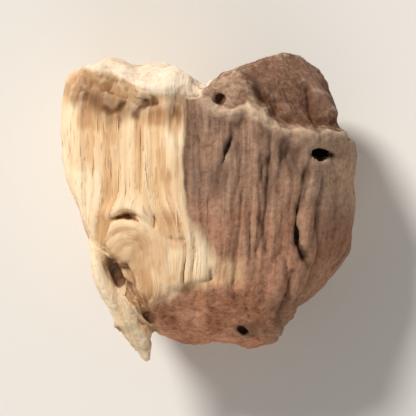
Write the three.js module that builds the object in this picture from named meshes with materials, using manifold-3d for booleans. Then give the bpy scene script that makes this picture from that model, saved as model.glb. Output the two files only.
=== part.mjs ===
// One chunk of chopped, dried stone root: a hard, knotty piece of rhizome about 20 mm across.
// Its grain runs along Y. Seen from above, the left of it is pale split wood, and the right and the
// near end keep their wrinkled bark. The far end is a break: a cream lip on the left, and a rough
// dark face on the right. A splinter stands off at the near left. The chunk lies on a flat chopped
// face, and the origin is on that face. Units are millimetres, and +Z is up.

import * as THREE from "three";
import { mergeVertices } from "three/addons/utils/BufferGeometryUtils.js";
import Module from "manifold-3d";

// The whole chunk
const HEART = new THREE.Vector3(0, 0, 6.2); // every point of the body is measured out from here
const REACH = new THREE.Vector3(9.5, 9.5, 7); // rough half sizes, which even out the triangles
const LIFT = 3; // gives the upper side more of the triangles
const DIVISIONS = 27; // of each edge of the starting icosahedron, which then has 20 * 27^2 faces
const SHARPNESS = 34; // how sharply two faces meet: higher is crisper
const FINEST = 0.04; // details under this are cleared away at the end
const WELD = 1e-5; // points nearer than this are one

// Plan outline of the body, anticlockwise from the right, without its splinter
const OUTLINE = [
  [9.7, -0.3],
  [9.5, 1.6],
  [9.9, 3.5],
  [9.2, 4.6],
  [8.5, 7.0],
  [8.1, 8.3],
  [7.4, 9.6],
  [6.3, 11.0],
  [4.6, 9.9],
  [2.1, 8.9],
  [0.8, 8.6],
  [0.2, 8.0],
  [-0.3, 7.9],
  [-1.6, 8.8],
  [-2.6, 9.4],
  [-4.0, 9.5],
  [-4.8, 9.2],
  [-6.6, 9.6],
  [-7.6, 9.3],
  [-9.1, 8.3],
  [-9.5, 6.3],
  [-9.6, 4.2],
  [-9.4, 2.1],
  [-8.6, 0.0],
  [-7.9, -1.9],
  [-7.0, -3.6],
  [-6.0, -5.4],
  [-4.6, -7.2],
  [-3.2, -8.5],
  [-1.7, -8.9],
  [0.4, -8.9],
  [2.4, -9.2],
  [4.6, -9.4],
  [5.2, -7.9],
  [6.2, -6.4],
  [7.8, -4.6],
  [9.2, -3.2],
];
const LEAN_ABOVE = 0.1; // how fast the walls close in above the heart, per millimetre
const LEAN_BELOW = 0.16; // and below it

// Faces of the body. Azimuth 0 faces +X and 90 faces +Y; tilt 0 faces up and 180 faces down.
// Reach is how far the face lies from the heart.
const FACES = [
  { name: "pale split face", azimuth: 192, tilt: 17, reach: 6.5 },
  { name: "bark crown", azimuth: -20, tilt: 13, reach: 6.0 },
  { name: "bark shoulder", azimuth: -14, tilt: 40, reach: 7.3 },
  { name: "near slope", azimuth: -84, tilt: 46, reach: 7.7 },
  { name: "cream lip", azimuth: 100, tilt: 40, reach: 9.6 },
  { name: "dark break", azimuth: 48, tilt: 38, reach: 8.2 },
  { name: "left flank", azimuth: 176, tilt: 58, reach: 9.6 },
  { name: "chopped left underside", azimuth: 190, tilt: 124, reach: 8.7 },
  { name: "chopped right underside", azimuth: 8, tilt: 128, reach: 8.7 },
  { name: "far underside", azimuth: 84, tilt: 116, reach: 9.0 },
  { name: "near underside", azimuth: -70, tilt: 120, reach: 8.7 },
];

// Where the bark starts: the wood's right edge in plan, as x for each y from near to far
const BARK_EDGE = [
  [-9.5, -3.0],
  [-7.0, -3.9],
  [-5.7, -2.6],
  [-5.2, -1.5],
  [-4.8, 0.2],
  [-3.8, 0.6],
  [-2.1, -0.3],
  [-0.8, -1.0],
  [1.0, -1.55],
  [6.9, -1.6],
  [8.0, -0.6],
];
const WOOD_STEP = 0.3; // the wood stands this much above the bark
const STEP_SLOPE = 0.35; // half the width of that step

// The lip and the scar that it overhangs, as y for each x from left to right
const LIP_LINE = [
  [-9.4, 7.6],
  [-8.5, 8.1],
  [-7.4, 8.3],
  [-6.0, 8.1],
  [-5.2, 7.6],
  [-4.3, 7.3],
  [-3.1, 7.3],
  [-1.7, 7.1],
  [-0.4, 7.2],
];
const LIP_RISE = 0.5;
const SCAR_DEPTH = 0.6;
const SCAR_REACH = 1.5; // how far the scar runs from the lip towards the near end
const LIP_SLOPE = 0.3; // half the width of the lip's fall to the scar
const LIP_SIDE = [-0.2, -1.4]; // x between which both grow to full height

// Ridges on the upper side, as routes in plan
const RIDGES = [
  {
    name: "edge of the break",
    route: [
      [-0.2, 7.6],
      [0.4, 6.4],
      [1.6, 5.9],
      [2.7, 6.3],
      [3.9, 5.5],
      [5.0, 4.9],
      [6.8, 4.7],
      [8.8, 4.5],
    ],
    width: 0.6,
    height: 0.6,
  },
  {
    name: "rib on the break",
    route: [
      [1.9, 8.5],
      [2.7, 7.4],
      [3.7, 6.0],
    ],
    width: 0.45,
    height: 0.35,
  },
  {
    name: "brow over the knot",
    route: [
      [-6.4, -0.5],
      [-5.6, -0.1],
      [-4.9, 0.0],
      [-4.1, -0.4],
    ],
    width: 0.5,
    height: 0.35,
  },
];

// Round lumps, above zero, and hollows, below zero, on the upper side
const LUMPS = [
  { name: "hollow at the small hole", at: [0.95, 6.95], radius: 0.55, height: -0.5 },
  { name: "hollow under the break", at: [5.2, 3.1], radius: 0.7, height: -0.5 },
  { name: "knot", at: [-5.3, -2.3], radius: 1.2, height: 0.4 },
  { name: "hollow under the knot", at: [-5.85, -4.6], radius: 0.8, height: -1.2 },
  { name: "near bulge", at: [0.2, -6.9], radius: 1.5, height: 0.45 },
  { name: "near right bulge", at: [3.9, -7.6], radius: 1.0, height: 0.35 },
  { name: "knob at the break", at: [2.2, 7.4], radius: 0.7, height: 0.35 },
];

// Wrinkles and unevenness
const GRAIN_STRETCH = 7; // how much longer than wide a wrinkle is
const GRAIN_RADIUS = 9; // of the round the wrinkles are spread on, about an axis along Y
const AXIS_ROUNDING = 1; // keeps them apart near that axis
const WRINKLE_GROWTH = [2, 6]; // distances from that axis between which they grow to full height
const FINER = { times: 2.3, share: 0.3 }; // the smaller lumps among the uneven ones
const BARK_WRINKLE = { spacing: 1.3, height: 0.42, seed: 2 };
const WOOD_WRINKLE = { spacing: 1.2, height: 0.2, seed: 3 };
const END_GRAIN = { spacing: 1.5, height: 0.4, seed: 4 };
const UNEVENNESS = { spacing: 4.5, height: 0.35, seed: 1 };
const RAGGED = { spacing: 0.9, stretch: 3, height: 0.35, seed: 7 }; // the bark's edge and the lip

// Parts of the surface, by how far its normal leans a way: none at the first value, all at the second
const FACING_UP = [0.1, 0.4];
const FACING_AN_END = [0.25, 0.6];
const SHORT_OF_THE_BREAK = [0.55, 0.25];

// The splinter at the near left: points along its middle, with its half width and half thickness
const SPLINTER = [
  { at: [-7.2, -1.5, 9.9], wide: 0.4, thick: 0.35 },
  { at: [-7.1, -3.3, 9.8], wide: 0.6, thick: 0.65 },
  { at: [-6.65, -5.0, 9.5], wide: 0.75, thick: 0.8 },
  { at: [-5.2, -7.0, 8.7], wide: 1.1, thick: 0.8 },
  { at: [-4.4, -8.7, 7.7], wide: 0.8, thick: 0.55 },
  { at: [-3.9, -10.3, 6.8], wide: 0.2, thick: 0.15 },
];
const SPLINTER_SIDES = 6;
const SPLINTER_ROUGHNESS = { height: 0.2, around: 1.7, along: 0.7, seed: 9 };

const SECTIONS = 3; // of a splinter or cleft from one of its points to the next

// Clefts cut along routes in plan. Width and depth are those of the middle.
const CLEFT_SIDES = 4;
const SMOOTH = { height: 0, around: 0, along: 0, seed: 0 };
const CLEFT_START = 0.7; // how far over the surface their wedges start
const CLEFT_LIFT = 0.4; // how far over it their wedges end, clear of the relief
const CLEFTS = [
  {
    name: "under the lip",
    route: [
      [-9.6, 7.0],
      [-8.6, 7.6],
      [-7.5, 7.7],
      [-6.6, 7.9],
      [-5.8, 7.3],
      [-5.0, 7.1],
      [-4.2, 6.7],
      [-3.2, 7.0],
      [-2.0, 6.6],
      [-0.9, 6.9],
    ],
    width: 0.6,
    depth: 0.7,
  },
  {
    name: "behind the splinter",
    route: [
      [-6.7, -3.2],
      [-6.0, -4.4],
      [-5.3, -5.4],
      [-4.3, -6.6],
      [-3.5, -7.8],
      [-3.1, -9.2],
    ],
    width: 0.8,
    depth: 1.2,
  },
  {
    name: "eye of the knot",
    route: [
      [-6.6, -1.15],
      [-5.8, -0.8],
      [-5.1, -0.65],
      [-4.55, -0.85],
      [-4.1, -1.35],
    ],
    width: 0.4,
    depth: 0.8,
  },
  {
    name: "slit beside the knot",
    route: [
      [-3.5, -0.3],
      [-3.35, -1.1],
      [-3.45, -1.9],
    ],
    width: 0.25,
    depth: 0.5,
  },
  {
    name: "long bark crack",
    route: [
      [6.3, 1.5],
      [5.95, 0.0],
      [5.8, -1.3],
      [5.95, -2.5],
      [6.5, -3.9],
    ],
    width: 0.3,
    depth: 0.7,
  },
  {
    name: "short bark crack",
    route: [
      [1.8, 4.9],
      [1.5, 4.1],
      [1.2, 3.2],
      [0.8, 2.1],
    ],
    width: 0.3,
    depth: 0.5,
  },
];

// Oval holes down through the surface: the half length and half width of each, and its turn in plan
const HOLES = [
  { name: "worm hole", at: [7.4, 3.35], long: 0.68, wide: 0.42, turn: -6, depth: 2.0 },
  { name: "small hole", at: [0.95, 6.95], long: 0.34, wide: 0.28, turn: 30, depth: 1.2 },
  { name: "near pit", at: [2.4, -8.3], long: 0.62, wide: 0.34, turn: -24, depth: 0.9 },
];
const BORE_START = 1; // how far over the surface their bores start
const BORE_MOUTH = 1.5; // how wide a bore is there, as a share of its hole
const BORE_END = 0.2; // and at its bottom
const BORE_SIDES = 9;

const HEIGHT_ERROR = 0.01; // how closely the surface's height is found
const BLOCK = 40; // edge of the block that is cut away below z = 0

// Smooth noise

// One value from -1 to 1 for each corner of a lattice of unit cells, the same on every run.
function cornerValue(x, y, z, seed) {
  let h = Math.imul(x, 374761393) ^ Math.imul(y, 668265263) ^ Math.imul(z, 1440662683) ^ seed;
  h = Math.imul(h ^ (h >>> 13), 1274126177);
  h = Math.imul(h ^ (h >>> 15), 2246822519);
  return ((h ^ (h >>> 16)) >>> 0) / 2147483648 - 1;
}

const ease = (t) => t * t * (3 - 2 * t);
const between = (a, b, t) => a + (b - a) * t;

// Smooth values from -1 to 1 that vary over about one unit.
function noise(x, y, z, seed) {
  const [i, j, k] = [Math.floor(x), Math.floor(y), Math.floor(z)];
  const [u, v, w] = [ease(x - i), ease(y - j), ease(z - k)];
  const edge = (dj, dk) =>
    between(cornerValue(i, j + dj, k + dk, seed), cornerValue(i + 1, j + dj, k + dk, seed), u);
  return between(between(edge(0, 0), edge(1, 0), v), between(edge(0, 1), edge(1, 1), v), w);
}

// Curves and distances

// The value at x on a line through points [x, value], held level past its ends.
function alongLine(points, x) {
  if (x <= points[0][0]) return points[0][1];
  for (let i = 1; i < points.length; i += 1) {
    const [[x0, v0], [x1, v1]] = [points[i - 1], points[i]];
    if (x <= x1) return between(v0, v1, (x - x0) / (x1 - x0));
  }
  return points[points.length - 1][1];
}

// 0 below low, 1 above high, and smooth between.
function rise(low, high, x) {
  return ease(Math.min(1, Math.max(0, (x - low) / (high - low))));
}

// How far (x, y) is from a route in plan.
function distanceFrom(route, x, y) {
  let nearest = Infinity;
  for (let i = 1; i < route.length; i += 1) {
    const [[x0, y0], [x1, y1]] = [route[i - 1], route[i]];
    const [dx, dy] = [x1 - x0, y1 - y0];
    const t = Math.min(1, Math.max(0, ((x - x0) * dx + (y - y0) * dy) / (dx * dx + dy * dy)));
    nearest = Math.min(nearest, Math.hypot(x - x0 - t * dx, y - y0 - t * dy));
  }
  return nearest;
}

// The body's surface

const outlineByAngle = OUTLINE.map(([x, y]) => [Math.atan2(y, x), Math.hypot(x, y)]).sort(
  (a, b) => a[0] - b[0],
);
const [firstAngle, firstRadius] = outlineByAngle[0];
const [lastAngle, lastRadius] = outlineByAngle[outlineByAngle.length - 1];
const OUTLINE_RADII = [
  [lastAngle - 2 * Math.PI, lastRadius],
  ...outlineByAngle,
  [firstAngle + 2 * Math.PI, firstRadius],
];

const faces = FACES.map(({ azimuth, tilt, reach }) => ({
  normal: new THREE.Vector3().setFromSphericalCoords(
    1,
    THREE.MathUtils.degToRad(tilt),
    THREE.MathUtils.degToRad(azimuth),
  ),
  reach,
}));
// setFromSphericalCoords measures from +Y, so its axes are renamed to measure from +Z.
for (const { normal } of faces) normal.set(normal.z, normal.x, normal.y);

// How far the body reaches from its heart in a unit direction. Walls and faces each say how near
// they are, and a high power lets the nearest one win, with rounded edges.
function bodyReach(direction) {
  const across = Math.hypot(direction.x, direction.y);
  const wall = alongLine(OUTLINE_RADII, Math.atan2(direction.y, direction.x));
  const lean = direction.z > 0 ? LEAN_ABOVE : LEAN_BELOW;
  let nearness = ((across + lean * Math.abs(direction.z)) / wall) ** SHARPNESS;
  for (const { normal, reach } of faces)
    nearness += (Math.max(0, normal.dot(direction)) / reach) ** SHARPNESS;
  return nearness ** (-1 / SHARPNESS);
}

// The height of the upper surface, before its relief, over (x, y).
function surfaceHeight(x, y) {
  let [low, high] = [0, 2 * REACH.z];
  const ray = new THREE.Vector3();
  while (high - low > HEIGHT_ERROR) {
    const middle = (low + high) / 2;
    ray.set(x, y, middle);
    const distance = ray.length();
    if (distance < bodyReach(ray.divideScalar(distance))) low = middle;
    else high = middle;
  }
  return HEART.z + low;
}

// Relief

// Unevenness that is alike in all directions, from -height to height. It runs askew of the axes.
function grains({ spacing, height, seed }, { x, y, z }) {
  const [u, v, w] = [(x + y / 2) / spacing, (y - z / 2) / spacing, (z + x / 2) / spacing];
  const { times, share } = FINER;
  const finer = noise(times * u, times * v, times * w, seed + 1);
  return height * between(noise(u, v, w, seed), finer, share);
}

// Wrinkles along the grain, which close in and fade to the ends as on a round root, from -height
// to height.
function wrinkles({ spacing, height, seed }, { x, y, z }) {
  const off = Math.hypot(x, z - HEART.z, AXIS_ROUNDING);
  const round = GRAIN_RADIUS / (spacing * off);
  const along = y / (spacing * GRAIN_STRETCH);
  const full = noise(x * round, along, (z - HEART.z) * round, seed);
  return height * rise(...WRINKLE_GROWTH, off) * full;
}

// The lip stands up past its line, and falls steeply to the scar.
function lipHeight(x, pastLip) {
  const onLip = rise(-LIP_SLOPE, LIP_SLOPE, pastLip);
  const scar = SCAR_DEPTH * (1 - onLip) * Math.exp(Math.min(0, pastLip) / SCAR_REACH);
  return rise(...LIP_SIDE, x) * (LIP_RISE * onLip - scar);
}

// The height of the relief at a point of the body whose surface faces along normal.
function relief(point, normal) {
  const { x, y } = point;
  const { spacing, stretch } = RAGGED;
  const ragged = RAGGED.height * noise(x / spacing, y / (stretch * spacing), 0, RAGGED.seed);
  const onBark = rise(-STEP_SLOPE, STEP_SLOPE, x - alongLine(BARK_EDGE, y) + ragged);
  const atEnd = rise(...FACING_AN_END, Math.abs(normal.y));
  let top = (1 - onBark) * rise(...SHORT_OF_THE_BREAK, normal.y) * WOOD_STEP;
  top += lipHeight(x, y - alongLine(LIP_LINE, x) + ragged);
  for (const { route, width, height } of RIDGES)
    top += height * Math.exp(-((distanceFrom(route, x, y) / width) ** 2));
  for (const { at, radius, height } of LUMPS)
    top += height * Math.exp(-((x - at[0]) ** 2 + (y - at[1]) ** 2) / radius ** 2);
  return (
    grains(UNEVENNESS, point) +
    (1 - atEnd) * onBark * wrinkles(BARK_WRINKLE, point) +
    (1 - onBark) * wrinkles(WOOD_WRINKLE, point) +
    atEnd * grains(END_GRAIN, point) +
    rise(...FACING_UP, normal.z) * top
  );
}

function bodyGeometry() {
  const ball = new THREE.IcosahedronGeometry(1, DIVISIONS - 1);
  ball.deleteAttribute("normal");
  ball.deleteAttribute("uv");
  const body = mergeVertices(ball, WELD);
  const position = body.attributes.position;
  const point = new THREE.Vector3();
  for (let i = 0; i < position.count; i += 1) {
    point.fromBufferAttribute(position, i).multiply(REACH);
    point.z += LIFT;
    point.normalize();
    point.multiplyScalar(bodyReach(point)).add(HEART);
    position.setXYZ(i, point.x, point.y, point.z);
  }
  body.computeVertexNormals();
  const normal = new THREE.Vector3();
  for (let i = 0; i < position.count; i += 1) {
    point.fromBufferAttribute(position, i);
    normal.fromBufferAttribute(body.attributes.normal, i);
    point.addScaledVector(normal, relief(point, normal));
    position.setXYZ(i, point.x, point.y, point.z);
  }
  body.deleteAttribute("normal");
  return body;
}

// Shapes that are joined and cut

// A closed sliver along points that each give its middle, half width and half thickness.
function sliver(points, sides, { height, around, along, seed }) {
  const middle = new THREE.CatmullRomCurve3(points.map(({ at }) => new THREE.Vector3(...at)));
  const sizes = new THREE.SplineCurve(points.map(({ wide, thick }) => new THREE.Vector2(wide, thick)));
  const steps = SECTIONS * (points.length - 1);
  const up = new THREE.Vector3(0, 0, 1);
  const vertices = [];
  const triangles = [];
  for (let i = 0; i <= steps; i += 1) {
    const centre = middle.getPoint(i / steps);
    const size = sizes.getPoint(i / steps);
    const across = new THREE.Vector3().crossVectors(middle.getTangent(i / steps), up).normalize();
    for (let side = 0; side < sides; side += 1) {
      const angle = (2 * Math.PI * side) / sides;
      const out = 1 + height * noise(side * around, i * along, 0, seed);
      const point = centre.clone();
      point.addScaledVector(across, size.x * out * Math.cos(angle));
      point.addScaledVector(up, size.y * out * Math.sin(angle));
      vertices.push(point.x, point.y, point.z);
      if (i < steps) {
        const [a, b] = [i * sides + side, i * sides + ((side + 1) % sides)];
        triangles.push(a, b + sides, b, a, a + sides, b + sides);
      }
    }
  }
  const last = steps * sides;
  for (let side = 1; side < sides - 1; side += 1) {
    triangles.push(0, side, side + 1);
    triangles.push(last, last + side + 1, last + side);
  }
  const geometry = new THREE.BufferGeometry();
  geometry.setAttribute("position", new THREE.Float32BufferAttribute(vertices, 3));
  geometry.setIndex(triangles);
  return geometry;
}

// A wedge along a route, deepest in its middle and running out of the surface at its ends.
function cleft({ route, width, depth }) {
  const points = route.map(([x, y], i) => {
    const share = Math.sin((Math.PI * i) / (route.length - 1));
    const thick = CLEFT_START + depth * share - CLEFT_LIFT * (1 - share);
    const wide = (thick * width) / (2 * depth);
    return { at: [x, y, surfaceHeight(x, y) + CLEFT_START], wide, thick };
  });
  return sliver(points, CLEFT_SIDES, SMOOTH);
}

// A tapered oval bore down into the surface.
function bore({ at: [x, y], long, wide, turn, depth }) {
  const length = depth + BORE_START;
  const cone = new THREE.CylinderGeometry(BORE_MOUTH, BORE_END, length, BORE_SIDES);
  cone.rotateX(Math.PI / 2).scale(long, wide, 1).rotateZ(THREE.MathUtils.degToRad(turn));
  cone.translate(x, y, surfaceHeight(x, y) + BORE_START - length / 2);
  cone.deleteAttribute("normal");
  cone.deleteAttribute("uv");
  return cone;
}

// Everything below the surface that the chunk lies on.
function belowRest() {
  const box = new THREE.BoxGeometry(BLOCK, BLOCK, BLOCK).translate(0, 0, -BLOCK / 2);
  box.deleteAttribute("normal");
  box.deleteAttribute("uv");
  return box;
}

// Joining and cutting

const wasm = await Module();
wasm.setup();

function solidOf(geometry) {
  const merged = mergeVertices(geometry, WELD);
  return new wasm.Manifold(
    new wasm.Mesh({
      numProp: 3,
      vertProperties: new Float32Array(merged.attributes.position.array),
      triVerts: new Uint32Array(merged.index.array),
    }),
  );
}

function geometryOf(solid) {
  const mesh = solid.getMesh();
  const geometry = new THREE.BufferGeometry();
  geometry.setAttribute("position", new THREE.Float32BufferAttribute(mesh.vertProperties, 3));
  geometry.setIndex(Array.from(mesh.triVerts));
  geometry.computeVertexNormals();
  return geometry;
}

const splinter = sliver(SPLINTER, SPLINTER_SIDES, SPLINTER_ROUGHNESS);
let chunk = solidOf(bodyGeometry()).add(solidOf(splinter));
for (const shape of [...CLEFTS.map(cleft), ...HOLES.map(bore), belowRest()])
  chunk = chunk.subtract(solidOf(shape));
chunk = chunk.simplify(FINEST);

const rootChunk = new THREE.Mesh(
  geometryOf(chunk),
  new THREE.MeshStandardMaterial({ color: 0xc9a27c, roughness: 0.85, metalness: 0 }),
);
rootChunk.name = "root_chunk";

const stoneRoot = new THREE.Group();
stoneRoot.add(rootChunk);

export default stoneRoot;
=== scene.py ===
"""The look of one chunk of chopped, dried stone root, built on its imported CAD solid.

The solid gives the form. It is remeshed finely here, and gets its fibres, wrinkles and torn edges as
geometry. Attributes of its points say where each finish lies, and one wood material reads them.
Lengths are in millimetres, apart from the meshes that are written, which are in metres.
"""

import itertools
import math
from types import SimpleNamespace

import bpy
import numpy as np
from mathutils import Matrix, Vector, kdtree


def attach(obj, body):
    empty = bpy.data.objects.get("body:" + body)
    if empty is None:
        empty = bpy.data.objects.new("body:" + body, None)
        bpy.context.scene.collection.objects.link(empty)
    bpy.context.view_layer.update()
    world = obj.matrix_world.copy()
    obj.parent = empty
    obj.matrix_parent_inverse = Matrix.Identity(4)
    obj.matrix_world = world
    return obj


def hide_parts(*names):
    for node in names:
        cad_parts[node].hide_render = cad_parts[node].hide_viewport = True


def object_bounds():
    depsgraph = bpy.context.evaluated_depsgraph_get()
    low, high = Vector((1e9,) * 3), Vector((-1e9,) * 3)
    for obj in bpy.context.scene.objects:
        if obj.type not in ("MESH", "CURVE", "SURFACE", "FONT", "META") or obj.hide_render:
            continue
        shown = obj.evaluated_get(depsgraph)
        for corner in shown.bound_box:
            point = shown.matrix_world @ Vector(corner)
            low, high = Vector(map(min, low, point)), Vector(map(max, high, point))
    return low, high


MILLIMETRE = 0.001

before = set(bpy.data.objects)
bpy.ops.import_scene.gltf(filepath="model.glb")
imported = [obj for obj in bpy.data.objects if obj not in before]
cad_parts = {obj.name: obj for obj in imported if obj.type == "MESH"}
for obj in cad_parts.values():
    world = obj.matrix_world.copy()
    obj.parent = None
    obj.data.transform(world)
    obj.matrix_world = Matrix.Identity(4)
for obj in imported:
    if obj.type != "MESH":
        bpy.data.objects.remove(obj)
cad_low, cad_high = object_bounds()

# The form

VOXEL = 0.13  # the edge of the fine mesh's squares
SMOOTHING_PUSH = 0.5  # how far a round of smoothing moves a point towards its neighbours' middle
EVENING_PULL = -0.53  # how far a round of evening then moves it back
EVENING_ROUNDS = 8  # which take the solid's facets away
SETTLING_ROUNDS = 30  # of smoothing, which fill the clefts of the scar, lip and groove partly
SCAR_SETTLING, LIP_SETTLING, GROOVE_SETTLING = 0.8, 0.3, 0.6  # the share of it that each takes
MOST_SETTLED = 0.8
# Small and large hollows: the rounds of smoothing that they are measured against, and their weights
HOLLOWS = ((6, 5.0), (40, 1.6))
HEART_Z = 6.2  # the height of the chunk's long axis
GRAIN_RADIUS = 9.0  # of the round that the grain is spread on, about that axis
AXIS_RADIUS = 1.0  # how near that axis the spreading eases off
AXIS_NUDGE = 0.001  # which keeps the arc defined on the axis itself

# Where the bark starts: the wood's right edge in plan, as x for each y from near to far
BARK_EDGE = [
    (-9.5, -3.0), (-7.0, -3.9), (-6.0, -2.6), (-5.5, -1.5), (-4.8, 0.2), (-3.8, 0.45),
    (-2.1, -0.5), (-0.8, -1.15), (1.0, -1.55), (6.9, -1.6), (8.0, -0.6),
]
# The near edges of the cream lip and of its white top, as y for each x from left to right
LIP_LINE = [
    (-9.4, 7.6), (-8.5, 8.1), (-7.4, 8.1), (-6.0, 7.75), (-5.2, 7.45), (-4.3, 7.2), (-3.1, 7.3),
    (-1.7, 6.9), (-0.4, 7.0),
]
WHITE_LINE = [
    (-8.4, 9.2), (-7.6, 8.9), (-6.5, 8.6), (-5.7, 8.2), (-4.4, 7.7), (-3.1, 7.3), (-1.3, 7.0),
    (-0.4, 6.9),
]
# How much paler the wood is than its middle tone, for each x from left to right
PALENESS = [
    (-9.5, 0.6), (-8.0, 0.55), (-6.5, -0.35), (-5.5, -0.5), (-4.0, -0.3), (-2.5, 0.4),
    (-1.5, 0.3), (-0.6, 1.1),
]
# How far the scar reaches from the lip, and how dark it is, for each x from left to right
# The scar's brown is partly a stain and partly painted shade under the lip
SCAR_REACH, SCAR_DARKNESS = 1, 2  # its columns
SCAR = [
    (-9.3, 0.8, 0.4), (-8.5, 2.6, 0.7), (-7.9, 3.5, 1.0), (-7.4, 3.1, 0.9), (-6.3, 2.9, 0.8),
    (-5.6, 2.5, 0.65), (-5.1, 2.2, 0.55), (-4.6, 2.3, 0.65), (-4.0, 2.3, 0.5),
    (-3.4, 2.0, 0.35), (-2.8, 2.2, 0.4), (-2.2, 2.8, 0.9), (-1.5, 2.6, 0.9), (-0.6, 0.8, 0.3),
]
# The edge of the dark break, from the lip to the right, as y for each x
BREAK_EDGE = [
    (-0.2, 7.6), (0.4, 6.4), (1.6, 5.9), (2.7, 6.3), (3.9, 5.5), (5.0, 4.9), (6.8, 4.7),
    (8.8, 4.5),
]
# A rib on the break, from the small hole's face
RIB = [(1.9, 8.5), (2.7, 7.4), (3.7, 6.0)]
# The splinter's middle line
SPLINTER = [
    (-7.2, -1.5), (-7.1, -3.3), (-6.65, -5.0), (-5.2, -7.0), (-4.4, -8.7), (-3.9, -10.3),
]
# Its half width and the height of its middle, for each y from near to far
SPLINTER_HALF_WIDTH, SPLINTER_HEIGHT = 1, 2  # its columns
SPLINTER_SIZES = [
    (-10.3, 0.3, 6.8), (-8.7, 0.8, 7.7), (-7.0, 1.1, 8.7), (-5.0, 0.8, 9.5), (-3.3, 0.65, 9.8),
    (-1.5, 0.4, 9.9),
]
SPLINTER_LEAN = math.radians(22)  # of its grain, from the chunk's
SPLINTER_STRANDS = 1.3  # how close its strands lie, against the others
# The groove behind it
GROOVE = [
    (-6.7, -3.2), (-6.0, -4.4), (-5.3, -5.4), (-4.3, -6.6), (-3.5, -7.8), (-3.1, -9.2),
]

# The knot, which the grain flows round, and inside which it bends in arches
KNOT_X, KNOT_Y = -4.9, -3.0
KNOT_RADIUS = 1.85
KNOT_TOP = (7, 9)  # the heights between which it fades in
KNOT_BEND = (5.0, 2.7)  # how far from its middle the grain starts to bend, and where it bends fully
KNOT_TIGHTNESS = 1.8  # how close the arches lie, against the grain outside
KNOT_BREAKS = 1.5  # how short the fibres are along the arches, against those outside
KNOT_HEART = 0.35  # half the width of its middle, where the arches' two sides meet

# Creases of the bark, as routes in plan, each with its half width and depth; the depth also sets their
# painted shade
CREASES = [
    ([(1.8, 4.6), (1.5, 4.1), (1.3, 3.4)], 0.4, 0.2),
    ([(1.4, 3.9), (1.2, 3.2), (0.8, 2.1), (0.6, 0.6)], 0.4, 0.18),
    ([(6.7, 3.2), (6.3, 1.5), (5.95, 0.0), (5.8, -1.3), (5.95, -2.5), (6.5, -3.9)], 0.4, 0.35),
    ([(5.9, -0.3), (5.8, -1.3), (5.95, -2.5), (6.3, -3.4)], 0.5, 0.5),
    ([(3.7, 2.6), (3.4, 1.5)], 0.35, 0.2),
    ([(2.7, 3.4), (2.6, 2.0), (2.3, 0.2)], 0.4, 0.16),
    ([(3.3, 4.4), (3.6, 1.6), (3.5, -0.8), (3.9, -3.0)], 0.5, 0.22),
    ([(4.9, 3.9), (4.6, 1.8), (4.9, -0.4), (4.7, -2.2)], 0.5, 0.2),
    ([(7.5, 1.8), (7.1, 0.4), (7.0, -1.4), (7.3, -3.2)], 0.35, 0.24),
    ([(8.5, 1.6), (8.3, 0.0), (8.2, -1.6)], 0.4, 0.2),
    ([(-0.2, 6.2), (-0.5, 4.0), (-0.3, 1.6)], 0.5, 0.2),
    ([(1.6, -2.6), (1.9, -4.2), (1.6, -5.4)], 0.4, 0.18),
    ([(5.6, -4.4), (5.2, -6.2), (4.6, -7.7)], 0.45, 0.24),
    ([(0.3, -6.7), (1.1, -7.0), (1.9, -7.2)], 0.35, 0.18),
    ([(1.9, -7.9), (2.5, -8.2), (3.1, -8.6)], 0.5, 0.16),
    ([(6.9, 3.55), (7.6, 3.38), (8.3, 3.25)], 0.35, 0.4),
    ([(5.2, 4.2), (5.6, 3.3), (5.9, 2.2)], 0.9, 0.24),
    ([(4.0, 3.0), (4.0, 1.6), (4.1, 0.2)], 0.5, 0.22),
]
# Creases of the bare wood and of the break, given in the same way
WOOD_CREASES = [
    (GROOVE, 0.45, 0.24),
    ([(-6.2, -3.9), (-5.8, -4.6), (-5.3, -5.3)], 0.7, 0.6),  # the groove's pocket
    ([(-6.1, -4.2), (-5.6, -4.9)], 0.7, 0.35),  # the pocket's middle
    ([(-6.1, -1.05), (-5.4, -0.78), (-4.8, -0.85), (-4.35, -1.2)], 0.25, 0.2),  # the knot's eye
    ([(-4.65, 5.9), (-4.4, 6.4), (-3.95, 6.65), (-3.3, 6.65)], 0.5, 0.32),  # the scar's arch
    ([(-6.7, 6.35), (-6.2, 6.05), (-5.8, 6.2), (-5.4, 6.7)], 0.4, 0.3),  # the scar's pit
    ([(-6.8, 8.3), (-5.7, 8.05), (-4.7, 7.7), (-3.9, 7.4)], 0.25, 0.16),  # along the lip
    ([(-2.4, -2.1), (-1.9, -2.3), (-1.5, -2.2)], 0.3, 0.2),  # over the pale patch
    ([(6.7, 7.6), (6.9, 6.4), (7.2, 5.2)], 0.5, 0.35),  # down the break
    ([(2.8, 8.0), (3.7, 6.9), (4.6, 6.1)], 0.6, 0.3),  # beside the break's rib
    ([(-6.3, -2.3), (-5.8, -1.85), (-5.2, -1.8), (-4.6, -2.2), (-4.2, -2.9)], 0.3, 0.2),  # in the knot
    ([(5.3, 5.7), (6.4, 5.5), (7.6, 5.5), (8.5, 5.3)], 0.7, 0.26),  # the break's foot
    ([(-5.3, -4.0), (-5.0, -4.5), (-4.8, -5.1)], 0.5, 0.26),  # right of the pocket
]
# Patches of painted shade on the bark: x, y, half width, half length and strength
SHADE_PATCHES = [
    (1.5, 4.0, 0.6, 0.9, 1.0), (1.0, 3.1, 0.6, 1.0, 0.8), (0.8, 1.9, 0.6, 1.6, 0.9),
    (5.3, 3.0, 0.9, 1.2, 0.9), (7.0, 2.4, 0.6, 0.8, 0.7), (4.0, 1.6, 0.6, 1.4, 0.5),
    (8.9, -0.4, 0.7, 1.4, 0.7), (2.6, -8.2, 1.2, 0.7, 1.0),
]
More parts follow.
